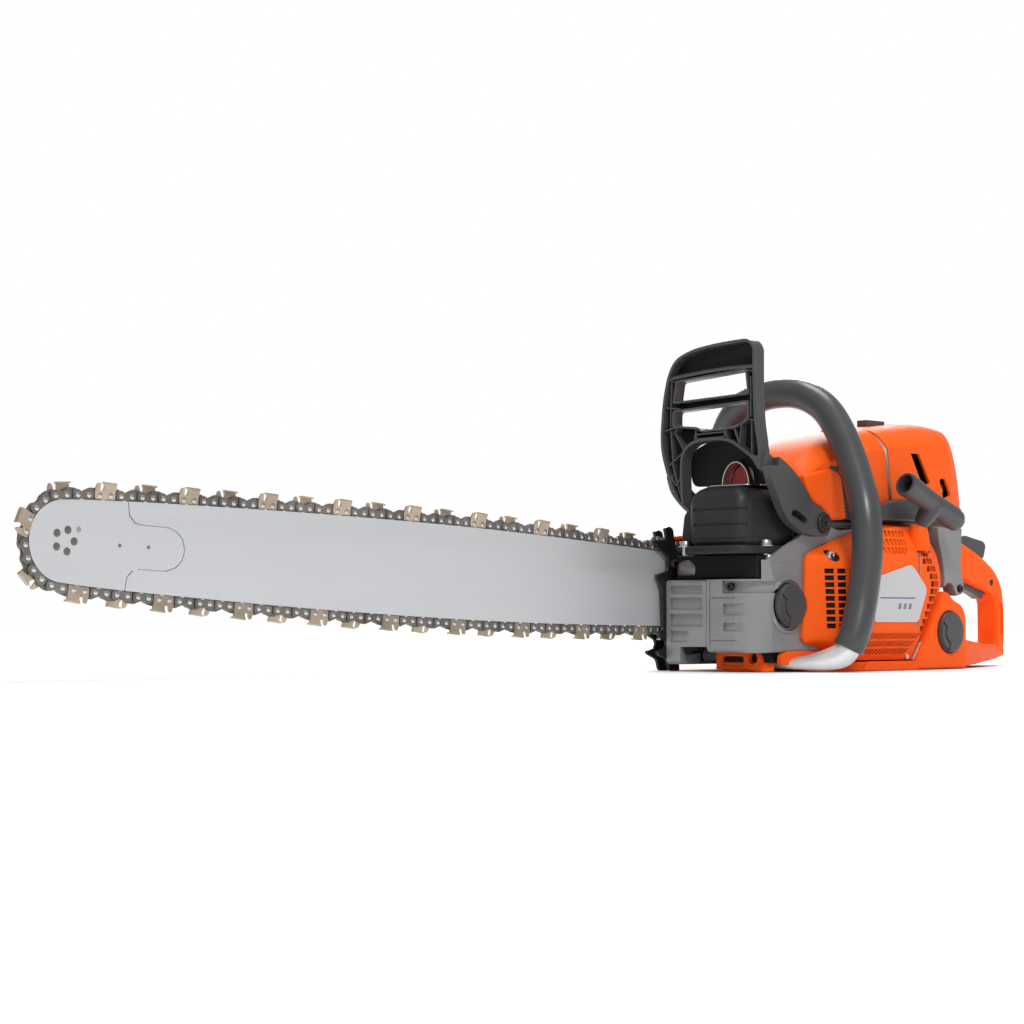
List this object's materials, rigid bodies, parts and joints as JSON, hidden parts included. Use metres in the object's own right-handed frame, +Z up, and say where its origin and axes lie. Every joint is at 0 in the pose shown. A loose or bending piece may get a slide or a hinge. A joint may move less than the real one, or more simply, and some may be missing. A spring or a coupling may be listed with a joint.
{
  "type": "chainsaw",
  "caption": "Petrol chainsaw with a long guide bar, saw chain, front and rear handles, hand guard, recoil starter and full engine inside.",
  "frame": {"origin": "on the flat underside of the tank unit's base, below the crankshaft axis and in the plane of the crankcase seam", "axes": "+X towards the rear handle, -X towards the bar nose, +Y the clutch and bar side, -Y the starter side, +Z up"},
  "size_m": [1.154, 0.2409, 0.2979],
  "materials": {
    "orange_plastic": "moulded, satin gloss",
    "magnesium": "painted die casting, satin grey",
    "dark_plastic": "moulded, fine grain",
    "black_plastic": "moulded, matt",
    "cast_alloy": "as cast",
    "bare_alloy": "satin tube",
    "steel": "machined",
    "bar_steel": "ground, light grey",
    "chain_steel": "oiled",
    "black_steel": "black, satin",
    "rubber": "moulded rubber",
    "handle_rubber": "moulded sleeve",
    "label": "printed plate left blank",
    "red_plastic": "moulded",
    "filter": "pleated paper and felt",
    "ceramic": "glazed ceramic"
  },
  "bodies": {
    "root": {"air_filter": "filter", "air_filter_cover": "orange_plastic", "bar_nut_front": "steel", "bar_nut_rear": "steel", "bar_stud_front": "steel", "bar_stud_rear": "steel", "carburettor": "cast_alloy", "chain_catcher": "magnesium", "clutch_cover": "orange_plastic", "crankcase_left": "magnesium", "crankcase_right": "magnesium", "cylinder": "cast_alloy", "cylinder_cover": "orange_plastic", "front_bellows": "rubber", "front_handle_grip": "handle_rubber", "front_handle_tube": "bare_alloy", "guard_pivot_left": "black_steel", "guard_pivot_right": "black_steel", "handle_clamp": "magnesium", "ignition_coil": "black_plastic", "intake_boot": "rubber", "intake_housing": "dark_plastic", "label_plate": "label", "main_bearing_left": "steel", "main_bearing_right": "steel", "muffler": "black_steel", "muffler_deflector": "steel", "rear_bracket": "magnesium", "recoil_spring": "steel", "saw_chain": "chain_steel", "spark_plug": "ceramic", "spike_inner": "black_steel", "spike_outer": "black_steel", "starter_cover": "orange_plastic", "tank_unit": "orange_plastic"},
    "crank": {"crankshaft_left": "steel", "crankshaft_right": "steel", "flywheel": "cast_alloy", "clutch_hub": "steel"},
    "drum": {"clutch_drum": "steel", "rim_sprocket": "steel"},
    "piston": {"piston": "cast_alloy", "piston_pin": "steel"},
    "rod": {"connecting_rod": "steel", "crank_pin": "steel"},
    "bar": {"guide_bar": "bar_steel", "bar_nose": "bar_steel"},
    "nose_wheel": {"nose_sprocket": "steel"},
    "starter_grip": {"starter_handle": "dark_plastic"},
    "pulley": {"starter_pulley": "black_plastic", "starter_rope": "black_plastic"},
    "guard": {"hand_guard": "dark_plastic"},
    "trigger": {"throttle_trigger": "dark_plastic"},
    "lockout": {"throttle_lockout": "dark_plastic"},
    "stop": {"stop_lever": "red_plastic"},
    "decompression": {"decompression_valve": "dark_plastic"},
    "oil_filler": {"oil_cap": "dark_plastic"},
    "oil_tab": {"oil_cap_tab": "dark_plastic"},
    "fuel_filler": {"fuel_cap": "dark_plastic"},
    "fuel_tab": {"fuel_cap_tab": "dark_plastic"}
  },
  "joints": [
    {"name": "crank_spin", "type": "hinge", "parent": "root", "child": "crank", "pos_m": [0, 0, 0.0683], "axis": [0, 1, 0], "continuous": true},
    {"name": "drum_spin", "type": "hinge", "parent": "root", "child": "drum", "pos_m": [0, 0.055, 0.0683], "axis": [0, 1, 0], "continuous": true},
    {"name": "nose_spin", "type": "hinge", "parent": "bar", "child": "nose_wheel", "pos_m": [-0.78927, 0.055, 0.10232], "axis": [0, 1, 0], "continuous": true},
    {"name": "piston_stroke", "type": "slide", "parent": "root", "child": "piston", "axis": [0, 0, 1], "range_m": [-0.036, 0]},
    {"name": "rod_swing", "type": "hinge", "parent": "piston", "child": "rod", "pos_m": [0, 0, 0.1543], "axis": [0, 1, 0], "range_deg": [-15.3, 15.3]},
    {"name": "bar_tension", "type": "slide", "parent": "root", "child": "bar", "axis": [0.9991, 0, -0.0431], "range_m": [0, 0.003]},
    {"name": "starter_pull", "type": "slide", "parent": "root", "child": "starter_grip", "axis": [-0.18, -0.14, 0.9737], "range_m": [0, 0.85], "stiffness_N_per_m": 8, "springref_m": -0.3},
    {"name": "pulley_spin", "type": "hinge", "parent": "root", "child": "pulley", "pos_m": [0, -0.08, 0.0683], "axis": [0, 1, 0], "continuous": true},
    {"name": "guard_brake", "type": "hinge", "parent": "root", "child": "guard", "pos_m": [-0.0527, 0, 0.133], "axis": [0, -1, 0], "range_deg": [0, 15]},
    {"name": "throttle_press", "type": "hinge", "parent": "root", "child": "trigger", "pos_m": [0.238, 0, 0.092], "axis": [0, -1, 0], "range_deg": [0, 10], "stiffness_Nm_per_rad": 0.5, "springref_deg": -11.46},
    {"name": "lockout_press", "type": "hinge", "parent": "root", "child": "lockout", "pos_m": [0.254, 0, 0.117], "axis": [0, 1, 0], "range_deg": [0, 9], "stiffness_Nm_per_rad": 0.5, "springref_deg": -11.46},
    {"name": "stop_switch", "type": "hinge", "parent": "root", "child": "stop", "pos_m": [0.196, 0.03, 0.128], "axis": [0, 0, 1], "range_deg": [-20, 20]},
    {"name": "decompression_press", "type": "slide", "parent": "root", "child": "decompression", "axis": [0, 0, -1], "range_m": [0, 0.003], "stiffness_N_per_m": 500, "springref_m": -0.002},
    {"name": "oil_cap_turn", "type": "hinge", "parent": "root", "child": "oil_filler", "pos_m": [-0.094, -0.057, 0.059], "axis": [0, 1, 0], "range_deg": [0, 90]},
    {"name": "oil_tab_flip", "type": "hinge", "parent": "oil_filler", "child": "oil_tab", "pos_m": [-0.081, -0.0633, 0.059], "axis": [0, 0, 1], "range_deg": [0, 90]},
    {"name": "fuel_cap_turn", "type": "hinge", "parent": "root", "child": "fuel_filler", "pos_m": [0.123, -0.078, 0.0347], "axis": [0, 1, 0], "range_deg": [0, 90]},
    {"name": "fuel_tab_flip", "type": "hinge", "parent": "fuel_filler", "child": "fuel_tab", "pos_m": [0.136, -0.0843, 0.0347], "axis": [0, 0, 1], "range_deg": [0, 90]}
  ],
  "couplings": [
    {"joint": "nose_spin", "follows": "drum_spin", "ratio": 0.63636},
    {"joint": "pulley_spin", "follows": "starter_pull", "rad_per_m": 37.037}
  ]
}
